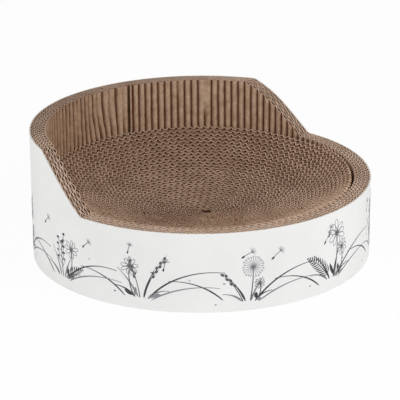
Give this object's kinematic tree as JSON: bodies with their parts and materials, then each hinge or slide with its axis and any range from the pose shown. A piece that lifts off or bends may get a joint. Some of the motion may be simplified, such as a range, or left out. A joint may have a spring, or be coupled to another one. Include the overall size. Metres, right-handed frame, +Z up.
{
  "type": "cardboard cat scratcher",
  "caption": "Round cardboard cat scratcher bed: printed ring wall of wound corrugated board, tall at the back and low in front, round a lift-out dished seat wound from board strips.",
  "frame": {"origin": "middle of the bed's underside, on the floor that it stands on", "axes": "+Z up, -Y towards the low front of the wall, +X to the right of someone who stands in front of it and looks at the back wall"},
  "size_m": [0.42, 0.42, 0.16],
  "materials": {
    "printed_wrap": "white-lined board, matt, printed in black and grey",
    "wall_board": "brown single-wall corrugated board with raw cut edges",
    "lining": "brown fluting paper that stands open to the inside",
    "base": "brown corrugated board, flat and matt",
    "seat": "brown single-wall corrugated board wound on edge, with raw cut edges"
  },
  "bodies": {
    "wall_ring": {"printed_wrap": "printed_wrap", "wall_board_outer": "wall_board", "wall_board_second": "wall_board", "wall_board_third": "wall_board", "fluted_lining": "lining", "base_board": "base"},
    "seat": {"seat_strip_1": "seat", "seat_strip_2": "seat", "seat_strip_3": "seat", "seat_strip_4": "seat", "seat_strip_5": "seat", "seat_strip_6": "seat", "seat_strip_7": "seat", "seat_strip_8": "seat", "seat_strip_9": "seat"}
  },
  "joints": [
    {"name": "seat_lift", "type": "slide", "parent": "wall_ring", "child": "seat", "axis": [0, 0, 1], "range_m": [0, 0.165]}
  ]
}
